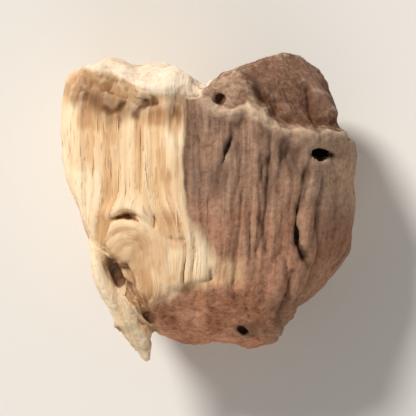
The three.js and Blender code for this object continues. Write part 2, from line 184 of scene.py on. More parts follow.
# Tan patches of the bare wood, given in the same way: a stain, with painted shade under the lip
TAN_PATCHES = [
    (-2.0, 5.6, 0.8, 1.2, 1.0), (-3.2, 5.6, 1.2, 0.7, 0.9), (-8.0, 5.7, 0.5, 0.9, 0.9),
    (-2.3, -1.3, 1.3, 1.3, 0.9), (-2.0, -2.3, 0.8, 0.6, 0.7), (-8.8, 7.6, 0.8, 1.2, 1.0),
    (-7.6, 8.4, 0.9, 0.6, 0.8), (-3.1, -3.5, 0.6, 2.1, 0.8),
]
# Paler patches of the stained wood at the near end, given in the same way
CLEAN_PATCHES = [(-3.9, -5.0, 0.65, 1.2, 0.8), (-2.2, -5.4, 0.9, 0.5, 0.6)]

# The layers of each pattern: first the amount of each, then its sizes, and last its seed

# Drawn-out noise has three sizes, one along each axis
RAGGED = [(0.35, 0.9, 2.7, 1, 7)]  # broadly uneven borders
TORN = [(0.15, 0.36, 1.8, 1, 21)]  # finely uneven ones
PATCHY = [(1.0, 1.1, 1.6, 1.1, 23), (0.5, 0.4, 0.9, 0.4, 24)]  # ones that break up in patches
END_WANDER = [(0.9, 2.4, 1, 1, 27), (0.35, 0.7, 1, 1, 28)]  # ones that wander down an end face
SCAR_WAVES = [(0.3, 0.3, 4, 1, 22)]
KNOT_WAVES = [(0.06, 1.4, 1.4, 1, 25)]
BARK_END_WAVES = [(0.6, 1, 1, 1, 59)]
RAYS = [(1.0, 0.4, 2.5, 3, 67), (0.5, 0.2, 1.5, 2, 68)]
RINGS = [(1.0, 4, 0.5, 3, 69)]
# Streaks have a size across the grain and one along it
FIBRES = [(0.06, 0.5, 7, 32), (0.04, 0.27, 4, 33)]
SLITS = [(1.0, 0.45, 5, 34)]
BARK_ROUGHNESS = [(1.0, 2.2, 7, 52)]
BARK_FOLDS = [(1.0, 1.6, 7, 35)]
BARK_WRINKLES = [(1.0, 0.62, 3.2, 36)]
BARK_THREADS = [(0.035, 0.28, 1.1, 38)]
SCAR_STREAKS = [(0.14, 0.35, 2.5, 39)]
# Speckle has a spacing
CHOPPED = [(0.12, 1.1, 60), (0.05, 0.4, 61)]
KNOT_SPECKLE = [(0.08, 0.8, 65)]
KNOT_TINT = [(0.4, 0.9, 75)]
BARK_LUMPS = [(0.35, 1.5, 57)]
BARK_DENTS = [(1.0, 0.8, 58)]
BARK_CRUST = [(0.04, 0.45, 37)]
SCAR_SPECKLE = [(0.14, 0.9, 40)]
BREAK_LUMPS = [(0.25, 2.4, 72)]
BREAK_TINT = [(0.7, 2.2, 71)]

# Strands side by side: their width, the length of their pieces, and the seed
BROAD_STRANDS = (1.5, 9, 31)
THIN_STRANDS = (0.55, 5, 51)
# How much strands differ in height, and how round their backs are
BROAD_STEP, BROAD_BACK = 0.035, 0.02
THIN_STEP, THIN_BACK = 0.03, 0.045
KNOT_BACK = 0.03
SLIT_DEPTH = 0.15
SCAR_DEPTH = 0.05
CREASE_STRAY = 0.3  # how far a crease's sides stray, as a share of its half width
# The bark's folds and wrinkles: their heights, and the power that rounds their backs
FOLD_HEIGHT, FOLD_POWER = 0.42, 0.7
WRINKLE_HEIGHT, ROUGH_WRINKLE_HEIGHT, WRINKLE_POWER = 0.08, 0.12, 0.8
DENT_DEPTH = 0.2
# Wood torn across its grain: its fibre bundles' width, length and seed, its lumps and grit, and the
# heights of its rays and rings
BUNDLE_HEIGHT = 0.03
LIP_TEAR = {
    "bundles": (0.5, 1.4, 62), "lumps": [(0.12, 1.4, 41)], "grit": [(0.03, 0.35, 42)],
    "rays": 0.06, "rings": 0.05,
}
BREAK_TEAR = {
    "bundles": (0.62, 0.9, 66), "lumps": [(0.15, 1.2, 45)], "grit": [(0.06, 0.36, 47)],
    "rays": 0.05, "rings": 0.04,
}

SLIVER_COUNT = 170
SLIVER_TRIES = 4 * SLIVER_COUNT  # of which the first that lie close enough are kept
SLIVER_SIDES = 4
SLIVER_RINGS = 5
SLIVER_LENGTHS = (0.8, 2.4)
SLIVER_WIDTHS = (0.05, 0.12)  # half of each one's width at its root
SLIVER_LEAN = 0.03  # how far each one strays from the grain, in radians
SLIVER_SLOPES = (0.0, 0.07)  # how steeply each one rises off the surface
SLIVER_LIFT = 0.2  # the most that a tip stands off the surface
SLIVER_SINK = 0.3  # how deep its middle lies below the surface, as a share of its half width
SLIVER_TAPER = 0.7  # the power by which it narrows to its tip
SLIVER_FLATNESS = 0.45  # its thickness as a share of its width
SLIVER_SEED = 11
# The values that each one takes from the point at its root
SLIVER_VALUES = (
    "bark", "splinter", "lip", "white", "scar", "broken", "strip", "edge", "near", "stain_and_shade",
    "ruddy", "fringe", "shade", "end", "tint", "crease_shade",
)

# Smooth noise

# Odd factors that scatter the numbers of a lattice's corners
CORNER_FACTORS = (np.uint32(374761393), np.uint32(668265263), np.uint32(1440662683))
FIRST_STIR, SECOND_STIR = np.uint32(1274126177), np.uint32(2246822519)


def corner_value(x, y, z, seed):
    """One value from -1 to 1 for each corner of a lattice of unit cells, the same on every run."""
    h = x * CORNER_FACTORS[0] ^ y * CORNER_FACTORS[1] ^ z * CORNER_FACTORS[2]
    h = h ^ np.uint32(seed)
    h = (h ^ (h >> np.uint32(13))) * FIRST_STIR
    h = (h ^ (h >> np.uint32(15))) * SECOND_STIR
    return (h ^ (h >> np.uint32(16))) / 2.0**31 - 1


def noise(x, y, z, seed):
    """Smooth values from -1 to 1 that vary over about one unit."""
    places = np.stack(np.broadcast_arrays(x, y, z)).astype(float)
    cells = np.floor(places)
    inside = places - cells
    shares = inside * inside * (3 - 2 * inside)
    cells = cells.astype(np.int64)
    total = 0
    for corner in itertools.product((0, 1), repeat=3):
        weight = 1
        for axis in range(3):
            weight = weight * (shares[axis] if corner[axis] else 1 - shares[axis])
        at = [(cells[axis] + corner[axis]).astype(np.uint32) for axis in range(3)]
        total = total + weight * corner_value(*at, seed)
    return total


def drawn_out(place, size_x, size_y, size_z, seed):
    """Noise with a size of its own along each axis, from -1 to 1."""
    x, y, z = place
    return noise(x / size_x, y / size_y, z / size_z, seed)


def streaks(grain, across, along, seed):
    """Noise drawn out along the grain, from -1 to 1."""
    return drawn_out(grain, across, along, across, seed)


def speckle(place, spacing, seed):
    """Noise alike in all directions, from -1 to 1, in two sizes."""
    x, y, z = place / spacing
    u, v, w = x + y / 2, y - z / 2, z + x / 2
    return 0.65 * noise(u, v, w, seed) + 0.35 * noise(2.3 * u, 2.3 * v, 2.3 * w, seed + 1)


def layered(pattern, place, layers):
    """The sum of a pattern's layers, each given as its amount, its sizes and its seed."""
    return sum(amount * pattern(place, *sizes_and_seed) for amount, *sizes_and_seed in layers)


# Curves and distances


def rise(low, high, x):
    """0 below low, 1 above high, and smooth between. High may be the lower one."""
    share = np.clip((x - low) / (high - low), 0, 1)
    return share * share * (3 - 2 * share)


def along_line(points, x, column=1):
    """The value at x on a line through points (x, value, ...), held level past its ends."""
    return np.interp(x, [p[0] for p in points], [p[column] for p in points])


def strands(arc, along, width, length, seed):
    """Strands side by side, each broken into pieces: their heights from -1 to 1, and their crowns."""
    wander = 0.45 * noise(arc / (3 * width), along / length, 0, seed)
    lane = arc / width + wander
    index = np.floor(lane)
    crown = 1 - (2 * (lane - index) - 1) ** 2
    strand = index.astype(np.int64).astype(np.uint32)
    shift = 5 * corner_value(strand, strand, strand, seed + 1)
    piece = along / length + shift
    turn = np.floor(piece)
    here = turn.astype(np.int64).astype(np.uint32)
    this_height = corner_value(strand, here, strand, seed + 2)
    next_height = corner_value(strand, here + np.uint32(1), strand, seed + 2)
    return this_height + (next_height - this_height) * rise(0.88, 1.0, piece - turn), crown


def bundles(place, width, length, seed):
    """Broken fibre bundles along Y: each one's height from -1 to 1, and how far in a point lies."""
    x, y, z = place
    place = np.stack([x / width, y / length, z / width])
    cell = np.floor(place).astype(np.int64)
    first = np.full(x.shape, np.inf)
    second = first.copy()
    height = np.zeros(x.shape)
    for step in itertools.product((-1, 0, 1), repeat=3):
        i, j, k = (cell[axis] + step[axis] for axis in range(3))
        corner = [n.astype(np.uint32) for n in (i, j, k)]
        apart = 0
        for axis, n in enumerate((i, j, k)):
            middle = n + 0.5 + 0.4 * corner_value(*corner, seed + axis)
            apart = apart + (place[axis] - middle) ** 2
        nearer = apart < first
        second = np.where(nearer, first, np.minimum(second, apart))
        height = np.where(nearer, corner_value(*corner, seed + 3), height)
        first = np.where(nearer, apart, first)
    return height, np.sqrt(second) - np.sqrt(first)


def distance_from(route, x, y):
    """How far (x, y) is from a route in plan."""
    nearest = np.full(np.shape(x), np.inf)
    for (x0, y0), (x1, y1) in itertools.pairwise(route):
        dx, dy = x1 - x0, y1 - y0
        t = np.clip(((x - x0) * dx + (y - y0) * dy) / (dx * dx + dy * dy), 0, 1)
        nearest = np.minimum(nearest, np.hypot(x - x0 - t * dx, y - y0 - t * dy))
    return nearest


def in_patches(patches, at):
    """How far in each point lies in soft patches of (x, y, half width, half length, strength)."""
    most = np.zeros(at.x.shape)
    for middle_x, middle_y, half_width, half_length, strength in patches:
        off = np.hypot((at.x - middle_x) / half_width, (at.y - middle_y) / half_length)
        most = np.maximum(most, strength * rise(1.2, 0.4, off + 0.3 * at.patchy))
    return most


# Meshes


def points_of(mesh):
    """The places of a mesh's points, as three rows."""
    flat = np.empty(3 * len(mesh.vertices), np.float32)
    mesh.vertices.foreach_get("co", flat)
    return flat.reshape(-1, 3).T.astype(float)


def set_points(mesh, places):
    """Moves a mesh's points to places given as three rows."""
    mesh.vertices.foreach_set("co", places.T.astype(np.float32).ravel())
    mesh.update()


def normals_of(mesh):
    """The normals at a mesh's points, as three rows."""
    flat = np.empty(3 * len(mesh.vertices), np.float32)
    mesh.vertex_normals.foreach_get("vector", flat)
    return flat.reshape(-1, 3).T.astype(float)


def write_values(mesh, name, values):
    """Keeps a number for each of a mesh's points, or a vector given as three rows."""
    kind, key = ("FLOAT", "value") if values.ndim == 1 else ("FLOAT_VECTOR", "vector")
    attribute = mesh.attributes.new(name, kind, "POINT")
    attribute.data.foreach_set(key, values.T.astype(np.float32).ravel())


def read_values(mesh, name):
    """The numbers that an attribute holds for a mesh's points."""
    values = np.empty(len(mesh.vertices), np.float32)
    mesh.attributes[name].data.foreach_get("value", values)
    return values.astype(float)


def add_to_scene(name, data):
    """A new object in the scene."""
    piece = bpy.data.objects.new(name, data)
    bpy.context.scene.collection.objects.link(piece)
    return piece


class Evener:
    """Averages a mesh's points, or values at them, with their neighbours'."""

    def __init__(self, mesh):
        edges = np.empty(2 * len(mesh.edges), np.int32)
        mesh.edges.foreach_get("vertices", edges)
        self.a, self.b = edges.reshape(-1, 2).T
        self.count = len(mesh.vertices)
        self.neighbours = np.bincount(edges, minlength=self.count)

    def mean(self, values):
        """The mean of the neighbours' values, at each point."""
        from_a = np.bincount(self.b, values[self.a], self.count)
        from_b = np.bincount(self.a, values[self.b], self.count)
        return (from_a + from_b) / self.neighbours

    def smooth(self, places, rounds, push=SMOOTHING_PUSH):
        """The places after rounds of moving each towards its neighbours' middle."""
        for _ in range(rounds):
            places = places + push * (np.stack([self.mean(p) for p in places]) - places)
        return places

    def even(self, places, rounds):
        """Smooths in pairs of steps, in and out, so that the form doesn't shrink."""
        for _ in range(rounds):
            places = self.smooth(places, 1)
            places = self.smooth(places, 1, EVENING_PULL)
        return places


def fine_copy(node):
    """The node's solid as an even mesh of small squares, in millimetres."""
    coarse = node.data.copy()
    set_points(coarse, points_of(coarse) / MILLIMETRE)
    shape = add_to_scene("coarse", coarse)
    remesh = shape.modifiers.new("remesh", "REMESH")
    remesh.mode = "VOXEL"
    remesh.voxel_size = VOXEL
    evaluated = shape.evaluated_get(bpy.context.evaluated_depsgraph_get())
    fine = bpy.data.meshes.new_from_object(evaluated)
    bpy.data.objects.remove(shape)
    return fine


# Where each finish lies


def borders_at(place, normal):
    """What the finishes' borders follow at each point: its place and tilt, and how uneven they are."""
    x, y, z = place
    end = rise(0.45, 0.8, np.abs(normal[1]))
    ragged = layered(drawn_out, (x, y, 0), RAGGED)
    wander = end * layered(drawn_out, (z, 0, 0), END_WANDER)
    return SimpleNamespace(
        x=x,
        y=y,
        z=z,
        facing_far=normal[1],
        facing_up=normal[2],
        upper=rise(0.0, 0.35, normal[2]),
        end=end,
        uneven_x=x + ragged + wander,
        torn=ragged + layered(drawn_out, (x, y, 0), TORN),
        patchy=layered(drawn_out, place, PATCHY),
    )


def splinter_share(at):
    """How much of the splinter there is at each point, and its height over the splinter's middle."""
    half_width = along_line(SPLINTER_SIZES, at.y, SPLINTER_HALF_WIDTH)
    over_middle = at.z - along_line(SPLINTER_SIZES, at.y, SPLINTER_HEIGHT)
    within_sides = rise(1.2, 0.9, distance_from(SPLINTER, at.x, at.y) / half_width)
    above_foot = rise(-1.5, -0.9, over_middle)
    past_root = rise(-2.2, -3.4, at.y)
    return within_sides * above_foot * past_root, over_middle


def lip_shares(at):
    """How much of the lip, of its white top and of the scar there is at each point."""
    left_of_break = rise(0.0, -0.7, at.uneven_x)
    past_line = at.y - along_line(LIP_LINE, at.x) + at.torn
    lip = rise(-0.15, 0.15, past_line) * left_of_break
    past_white_line = at.y - along_line(WHITE_LINE, at.x) + at.torn
    high_up = rise(5.5, 8.0, at.z + 0.8 * at.patchy)
    white = rise(-0.2, 0.25, past_white_line) * high_up
    reach = along_line(SCAR, at.x, SCAR_REACH) * (1 + layered(drawn_out, (at.x, at.y, 0), SCAR_WAVES))
    before_lip = rise(0.25, -0.1, past_line)
    within_reach = rise(-reach, -0.5 * reach, past_line)
    scar = before_lip * within_reach * at.upper * left_of_break
    scar *= along_line(SCAR, at.x, SCAR_DARKNESS)
    scar *= 0.8 + 0.2 * rise(-0.4, -1.2, past_line)
    return lip, white * lip, scar


def break_shares(at):
    """How much of the dark break, of the pale edge by it, partly painted light, and of its right
    strip.
    """
    past_break = rise(-0.1, 0.4, at.y - along_line(BREAK_EDGE, at.x) + 0.6 * at.torn)
    far_half = rise(3.3, 5.2, at.y)
    far_face = rise(0.5, 0.7, at.facing_far)
    right_of_lip = rise(-0.9, -0.1, at.uneven_x)
    broken = np.maximum(past_break * far_half, far_face) * right_of_lip

    # The pale edge along the break: partly worn wood, partly a painted highlight on the ridge
    along_edge = rise(0.8, 0.15, distance_from(BREAK_EDGE, at.x, at.y) + 0.2 * at.patchy) * at.upper
    strength = rise(-0.2, 0.6, at.x) * (1 - 0.8 * rise(6.3, 7.2, at.x))
    strength *= 1.2 - 0.75 * rise(3.5, 5, at.x)
    along_edge *= strength
    on_rib = 0.35 * rise(0.4, 0.1, distance_from(RIB, at.x, at.y) + 0.1 * at.patchy) * at.upper
    by_small_hole = 0.55 * broken * rise(3.0, 1.4, at.x + 0.4 * at.patchy) * at.upper
    # Paler bark down the right margin: painted light on the side turned from the key light
    right_margin = rise(6.2, 7.6, at.x + 0.4 * at.patchy)
    painted_light_on_margin = 0.45 * (1 - broken) * right_margin * rise(-2, 0.5, at.y)
    edge = np.max([along_edge, on_rib, by_small_hole, painted_light_on_margin], 0)

    right_side = rise(6.3, 7.2, at.x + 0.3 * (at.y - 7))
    above_foot = rise(5.8, 7.6, at.y)
    return broken, edge, broken * right_side * above_foot * at.upper


def stain_and_shade_share(at, past_edge, over_splinter, splinter):
    """How much tan is on the bare wood: stain, and painted shade by the groove and under the lip."""
    near_end = rise(-3.6, -5.6, at.y + 0.9 * at.patchy) * (1 - splinter)
    near_end *= 1 - in_patches(CLEAN_PATCHES, at)

    # Painted shade along the groove behind the splinter
    by_groove = 0.75 * rise(0.95, 0.2, distance_from(GROOVE, at.x, at.y) + 0.3 * at.patchy)
    by_groove *= rise(-3.0, -1.5, over_splinter)

    to_knot = np.hypot(at.x - KNOT_X, at.y - KNOT_Y)
    by_knot = 0.45 * rise(2.6, 0.8, to_knot + 0.4 * at.patchy) * rise(*KNOT_TOP, at.z)

    beside_bark = rise(-1.5, -0.1, past_edge + 0.4 * at.patchy)
    before_scar = rise(4.5, 2.0, at.y)
    past_pale_patch = rise(-3, -1, at.y)
    by_bark = 0.8 * beside_bark * before_scar * past_pale_patch

    against_bark = rise(-0.6, 0.0, past_edge + 0.3 * at.patchy)
    at_near_end = against_bark * rise(-2.5, -3.5, at.y)

    # Tan patches: a stain, with painted shade under the lip
    on_top = in_patches(TAN_PATCHES, at) * rise(5, 7, at.z)
    return np.max([near_end, by_groove, by_knot, by_bark, at_near_end, on_top], 0)


def bark_tones(at, past_edge):
    """How much tan fringe the bark has at each point, and how much painted shade darkens it."""
    beside_wood = rise(3.0, 0.6, past_edge + 0.5 * at.patchy)
    fringe = beside_wood * rise(-3.0, -4.0, at.y) * rise(-5.8, -5.0, at.y)
    band = rise(1.9, 0.3, past_edge + 0.3 * at.patchy) * rise(-0.6, 1.6, at.y)
    under_break = rise(2.4, 0.4, along_line(BREAK_EDGE, at.x) - at.y + 0.5 * at.patchy)
    under_break *= rise(1.8, 3.8, at.x)
    near_corner = rise(3.2, 5.0, at.x + 0.3 * at.patchy) * rise(-4.8, -6.6, at.y)
    right_margin = 0.8 * rise(7.6, 8.8, at.x + 0.4 * at.patchy) * rise(0.5, -1.5, at.y)
    corner = np.maximum(near_corner, right_margin)
    dark = in_patches(SHADE_PATCHES, at) * rise(1.5, 3.5, at.z)
    shade = np.maximum(0.72 * (band + under_break + 0.7 * corner), dark)
    return fringe, np.clip(shade, 0, 1)


def finishes(place, normal):
    """How much of each finish there is at each point, from 0 to 1."""
    at = borders_at(place, normal)
    splinter, over_splinter = splinter_share(at)
    lip, white, scar = lip_shares(at)
    broken, edge, strip = break_shares(at)

    before_knot = rise(0.5, -2.5, at.y)
    softness = 0.12 + 0.6 * before_knot
    past_edge = at.x - along_line(BARK_EDGE, at.y) + at.torn + 0.3 * at.patchy * before_knot
    bark = rise(-softness, softness, past_edge)
    bark *= (1 - broken) * (1 - lip) * (1 - splinter)
    bark *= rise(-0.6, -0.3, at.facing_up + 0.3 * at.patchy)
    fringe, shade = bark_tones(at, past_edge)
    return {
        "bark": bark,
        "splinter": splinter,
        "lip": lip,
        "white": white,
        "scar": scar * (1 - bark) * (1 - splinter),
        "broken": broken,
        "strip": strip,
        "edge": edge,
        "near": rise(-4.4, -6.4, at.y + 0.5 * at.patchy) * rise(5.2, 2.8, at.x),
        "stain_and_shade": stain_and_shade_share(at, past_edge, over_splinter, splinter) * (1 - bark),
        "ruddy": rise(2.5, -2.0, at.y + 1.1 * at.patchy),
        "fringe": bark * fringe,
        "shade": bark * shade,
        "end": at.end,
    }


def grain_of(place, splinter):
    """Coordinates that follow the grain, the arc round the axis, and how far into the knot.

    The grain runs along Y, arches over the knot and leans in the splinter.
    """
    x, y, z = place
    dx, dy = x - KNOT_X, y - KNOT_Y
    arch = np.hypot(dx, np.maximum(dy, 0)) * (1 + layered(drawn_out, (x, y, 0), KNOT_WAVES))
    outside = dx * (1 - (KNOT_RADIUS / np.maximum(arch, KNOT_RADIUS)) ** 2)
    inside = KNOT_TIGHTNESS * (np.minimum(arch, KNOT_RADIUS) - KNOT_RADIUS)
    flow = KNOT_X + np.where(arch < KNOT_RADIUS, inside, outside)
    across = x + (flow - x) * rise(*KNOT_BEND, np.hypot(dx, dy)) * rise(*KNOT_TOP, z)
    off = np.hypot(np.hypot(across, z - HEART_Z), AXIS_RADIUS)
    u, w = across * GRAIN_RADIUS / off, (z - HEART_Z) * GRAIN_RADIUS / off
    arc = GRAIN_RADIUS * np.arctan2(u, w + AXIS_NUDGE)

    c, s = math.cos(SPLINTER_LEAN), math.sin(SPLINTER_LEAN)
    leaning = x * c + y * s
    u = u + (leaning - u) * splinter
    arc = arc + (SPLINTER_STRANDS * leaning - arc) * splinter
    v = y + (y * c - x * s - y) * splinter

    knot = rise(KNOT_RADIUS, 0.8 * KNOT_RADIUS, arch) * rise(-2.2, -0.8, dy)
    knot *= rise(*KNOT_TOP, z) * (1 - splinter)
    along_arch = -KNOT_RADIUS * np.arctan2(dx, np.maximum(dy, KNOT_HEART))
    along_arch += np.tanh(dx / KNOT_HEART) * np.minimum(dy, 0)
    v = v + (KNOT_BREAKS * along_arch - v) * knot
    return np.stack([u, v, w]), arc, knot


# Fine relief


def wood_patterns(place, grain, arc):
    """The strands along the grain, and the rays and rings across it."""
    x, y, z = place
    turn = GRAIN_RADIUS / 2 * np.arctan2(x, z - HEART_Z)
    off = np.hypot(x, z - HEART_Z)
    pattern = SimpleNamespace()
    pattern.broad, pattern.broad_crown = strands(arc, grain[1], *BROAD_STRANDS)
    pattern.thin, pattern.thin_crown = strands(arc, grain[1], *THIN_STRANDS)
    pattern.rays = layered(drawn_out, (turn, off, y), RAYS)
    pattern.rings = layered(drawn_out, (turn, off, y), RINGS)
    return pattern


def depth_in(creases, place):
    """How deep each point lies in creases, and how much painted shade darkens them, from 0 to 1."""
    x, y, z = place
    cut, crease_shade = np.zeros((2, len(x)))
    for number, (route, reach, depth) in enumerate(creases):
        stray = CREASE_STRAY * reach * noise(x / 0.5, y / 0.9, number, 53)
        gap = distance_from(route, x, y) + stray
        fade = 0.65 + 0.5 * noise(x / 2, y / 1.1, number, 54)
        slope = 1 - np.clip(gap / reach, 0, 1)
        cut += depth * fade * (0.45 * slope + 0.55 * slope**4)
        crease_shade = np.maximum(crease_shade, fade * rise(0.12, 0.35, depth) * rise(0.7 * reach, 0.1, gap))
    above_foot = rise(3, 5, z)
    return cut * above_foot, crease_shade * above_foot


def wood_relief(place, grain, knot, end, pattern):
    """The strands, fibres and slits of the split wood, those of the knot, and the chopped ends."""
    fibres = layered(streaks, grain, FIBRES)
    slits = -SLIT_DEPTH * rise(0.45, 0.75, layered(streaks, grain, SLITS))
    broad = BROAD_STEP * pattern.broad + BROAD_BACK * pattern.broad_crown
    split = broad + THIN_STEP * pattern.thin + THIN_BACK * pattern.thin_crown + slits
    knotty = layered(speckle, place, KNOT_SPECKLE)
    knotty = knotty + THIN_STEP * pattern.thin + KNOT_BACK * pattern.thin_crown + slits
    chopped = layered(speckle, place, CHOPPED)
    split += (knotty - split) * knot + (chopped - split - fibres) * end
    return split + fibres


def bark_relief(place, grain, end):
    """The folds, wrinkles and crust of the bark, and the lumps and dents of its near end."""
    near_end = rise(-5.2, -7.2, place[1] + layered(drawn_out, place, BARK_END_WAVES))
    rough = rise(-0.3, 0.4, layered(streaks, grain, BARK_ROUGHNESS))
    folds = FOLD_HEIGHT * np.abs(layered(streaks, grain, BARK_FOLDS)) ** FOLD_POWER
    wrinkle_height = WRINKLE_HEIGHT + ROUGH_WRINKLE_HEIGHT * rough
    wrinkles = wrinkle_height * np.abs(layered(streaks, grain, BARK_WRINKLES)) ** WRINKLE_POWER
    dents = DENT_DEPTH * rise(0.35, 0.6, layered(speckle, place, BARK_DENTS))
    lumps = layered(speckle, place, BARK_LUMPS) - dents
    crust = layered(speckle, place, BARK_CRUST) + layered(streaks, grain, BARK_THREADS) * (1 - end)
    return (folds + wrinkles) * (1 - near_end) + lumps * near_end + crust * (1 + near_end)


def tear_relief(place, pattern, tear):
    """The bundles, rays and rings of wood that is torn across its grain."""
    height, inside = bundles(place, *tear["bundles"])
    relief = BUNDLE_HEIGHT * height - BUNDLE_HEIGHT * rise(0.25, 0.0, inside)
    relief = relief + layered(speckle, place, tear["lumps"])
    relief = relief + tear["rays"] * pattern.rays + tear["rings"] * pattern.rings
    return relief + layered(speckle, place, tear["grit"])


def fine_relief(place, grain, knot, share, pattern):
    """How far each point moves out along its normal, and the painted shade in its creases."""
    bark, scar, lip, broken = (share[name] for name in ("bark", "scar", "lip", "broken"))
    wood = (1 - bark) * (1 - lip) * (1 - broken)
    move = wood * wood_relief(place, grain, knot, share["end"], pattern)
    move += bark * bark_relief(place, grain, share["end"])
    bark_cut, bark_crease_shade = depth_in(CREASES, place)
    wood_cut, wood_crease_shade = depth_in(WOOD_CREASES, place)
    move -= bark_cut * bark + wood_cut * (1 - bark)
    crease_shade = bark_crease_shade * bark + wood_crease_shade * (1 - bark) * (1 - 0.7 * share["splinter"])
    scarred = layered(streaks, grain, SCAR_STREAKS) - SCAR_DEPTH
    move += scar * (scarred + layered(speckle, place, SCAR_SPECKLE))
    move += lip * tear_relief(place, pattern, LIP_TEAR)
    move += broken * tear_relief(place, pattern, BREAK_TEAR)
    move += broken * layered(speckle, place, BREAK_LUMPS)
    above_rest_face = rise(0.0, 0.5, place[2])
    return move * above_rest_face, crease_shade


def tint_of(place, knot, share, pattern):
    """How much paler or darker than its middle tone the wood is at each point."""
    tint = (0.5 * pattern.broad + 0.5 * pattern.thin) * (1 - knot) + along_line(PALENESS, place[0])
    in_knot = 0.4 + 0.4 * pattern.thin + layered(speckle, place, KNOT_TINT)
    # The splinter is painted paler, partly as painted light where it turns from the key light
    tint += in_knot * knot + 0.9 * share["splinter"]
    torn = 0.6 * pattern.rays + 0.4 * pattern.rings
    torn = torn + layered(speckle, place, BREAK_TINT) * share["broken"]
    return tint + (torn - tint) * np.maximum(share["lip"], share["broken"])


def make_chunk():
    """The whole chunk: the solid's fine copy with its relief, and its finishes as attributes."""
    mesh = fine_copy(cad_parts["root_chunk"])
    evener = Evener(mesh)
    place = evener.even(points_of(mesh), EVENING_ROUNDS)
    set_points(mesh, place)
    normal = normals_of(mesh)
    share = finishes(place, normal)

    in_groove = rise(0.8, 0.4, distance_from(GROOVE, *place[:2])) * rise(6, 7.5, place[2])
    settled = SCAR_SETTLING * share["scar"] + LIP_SETTLING * share["lip"] + GROOVE_SETTLING * in_groove
    settled = np.clip(settled, 0, MOST_SETTLED)
    place = place + settled * (evener.smooth(place, SETTLING_ROUNDS) - place)

    grain, arc, knot = grain_of(place, share["splinter"])
    pattern = wood_patterns(place, grain, arc)
    move, crease_shade = fine_relief(place, grain, knot, share, pattern)
    tint = tint_of(place, knot, share, pattern)
    place = place + normal * move
    place[2] = np.maximum(place[2], 0)
    set_points(mesh, place)

    normal = normals_of(mesh)
    hollow = np.zeros(place.shape[1])
    for rounds, weight in HOLLOWS:
        hollow += weight * ((evener.smooth(place, rounds) - place) * normal).sum(0)
    # The creases' painted shade is kept as an attribute with the rest
    share |= {"hollow": hollow, "tint": tint, "crease_shade": crease_shade, "grain": grain}
    for name, values in share.items():
        write_values(mesh, name, values)
    set_points(mesh, place * MILLIMETRE)
    mesh.name = "chunk_surface"
    mesh.shade_smooth()
    return add_to_scene("chunk_surface", mesh)


# Torn slivers


def sliver_chance(mesh, place):
    """How likely a sliver is to start at each point, as shares of 1."""
    x, y, z = place
    before_scar = rise(2.5, 4.5, along_line(LIP_LINE, x) - y)
    left_of_bark = rise(0.3, 1.0, along_line(BARK_EDGE, y) - x)
    off_knot = rise(1.8 * KNOT_RADIUS, 2.6 * KNOT_RADIUS, np.hypot(x - KNOT_X, y - KNOT_Y))
    chance = 1
    for name in ("bark", "broken", "end", "splinter"):
        chance = chance * (1 - read_values(mesh, name))
    chance = chance * rise(1.5, 4.0, z) * before_scar * left_of_bark * off_knot
    return chance / chance.sum()


def gaps_to(place, tips):
    """How far each tip is from the nearest of the places."""
    tree = kdtree.KDTree(place.shape[1])
    for number, point in enumerate(place.T):
        tree.insert(point, number)
    tree.balance()
    return np.array([tree.find(tip)[2] for tip in tips.T])


def spike_faces():
    """The faces of one spike, whose points come ring by ring from its root, and then the tip."""
    last = SLIVER_SIDES * (SLIVER_RINGS - 1)
    tip = last + SLIVER_SIDES
    faces = [tuple(range(SLIVER_SIDES))]
    for corner in range(SLIVER_SIDES):
        following = (corner + 1) % SLIVER_SIDES
        for start in range(0, last, SLIVER_SIDES):
            ahead = start + SLIVER_SIDES
            faces.append((start + corner, ahead + corner, ahead + following, start + following))
        faces.append((last + corner, tip, last + following))
    return faces


def torn_slivers(mesh):
    """Thin slivers that lie along the split wood and lift off it a little, as one mesh of spikes."""
    rng = np.random.default_rng(SLIVER_SEED)
    place, normal = points_of(mesh) / MILLIMETRE, normals_of(mesh)
    roots = rng.choice(place.shape[1], SLIVER_TRIES, False, sliver_chance(mesh, place))
    root, out = place[:, roots], normal[:, roots]
    length = rng.uniform(*SLIVER_LENGTHS, SLIVER_TRIES)
    wide = rng.uniform(*SLIVER_WIDTHS, SLIVER_TRIES)
    lean = rng.normal(0, SLIVER_LEAN, SLIVER_TRIES)
    ways = rng.choice((-1, 1), SLIVER_TRIES)
    along = np.stack([-ways * np.sin(lean), ways * np.cos(lean), np.zeros(SLIVER_TRIES)])
    along -= out * (along * out).sum(0)
    along /= np.linalg.norm(along, axis=0)
    side = np.cross(along, out, axis=0)
    slope = rng.uniform(*SLIVER_SLOPES, SLIVER_TRIES)
    tip = root + length * (along + slope * out)
    kept = np.flatnonzero(gaps_to(place, tip) < SLIVER_LIFT)[:SLIVER_COUNT]

    sunk = SLIVER_SINK * wide * out
    points = []
    for ring in range(SLIVER_RINGS):
        t = ring / SLIVER_RINGS
        middle = root + length * (along * t + out * slope * t) - sunk
        half_width = wide * (1 - t) ** SLIVER_TAPER
        for corner in range(SLIVER_SIDES):
            turn = 2 * math.pi * corner / SLIVER_SIDES
            to_corner = side * math.cos(turn) + SLIVER_FLATNESS * out * math.sin(turn)
            points.append(middle + half_width * to_corner)
    points.append(tip - sunk)

    spike_size = len(points)
    corners = np.stack(points)[:, :, kept].transpose(2, 0, 1).reshape(-1, 3) * MILLIMETRE
    starts = range(0, spike_size * len(kept), spike_size)
    polygons = [[start + corner for corner in face] for start in starts for face in spike_faces()]
    slivers = bpy.data.meshes.new("torn_slivers")
    slivers.from_pydata(corners.tolist(), [], polygons)
    origins = np.repeat(roots[kept], spike_size)
    for name in SLIVER_VALUES:
        write_values(slivers, name, read_values(mesh, name)[origins])
    write_values(slivers, "grain", corners.T / MILLIMETRE)
    return add_to_scene("torn_slivers", slivers)


# Materials

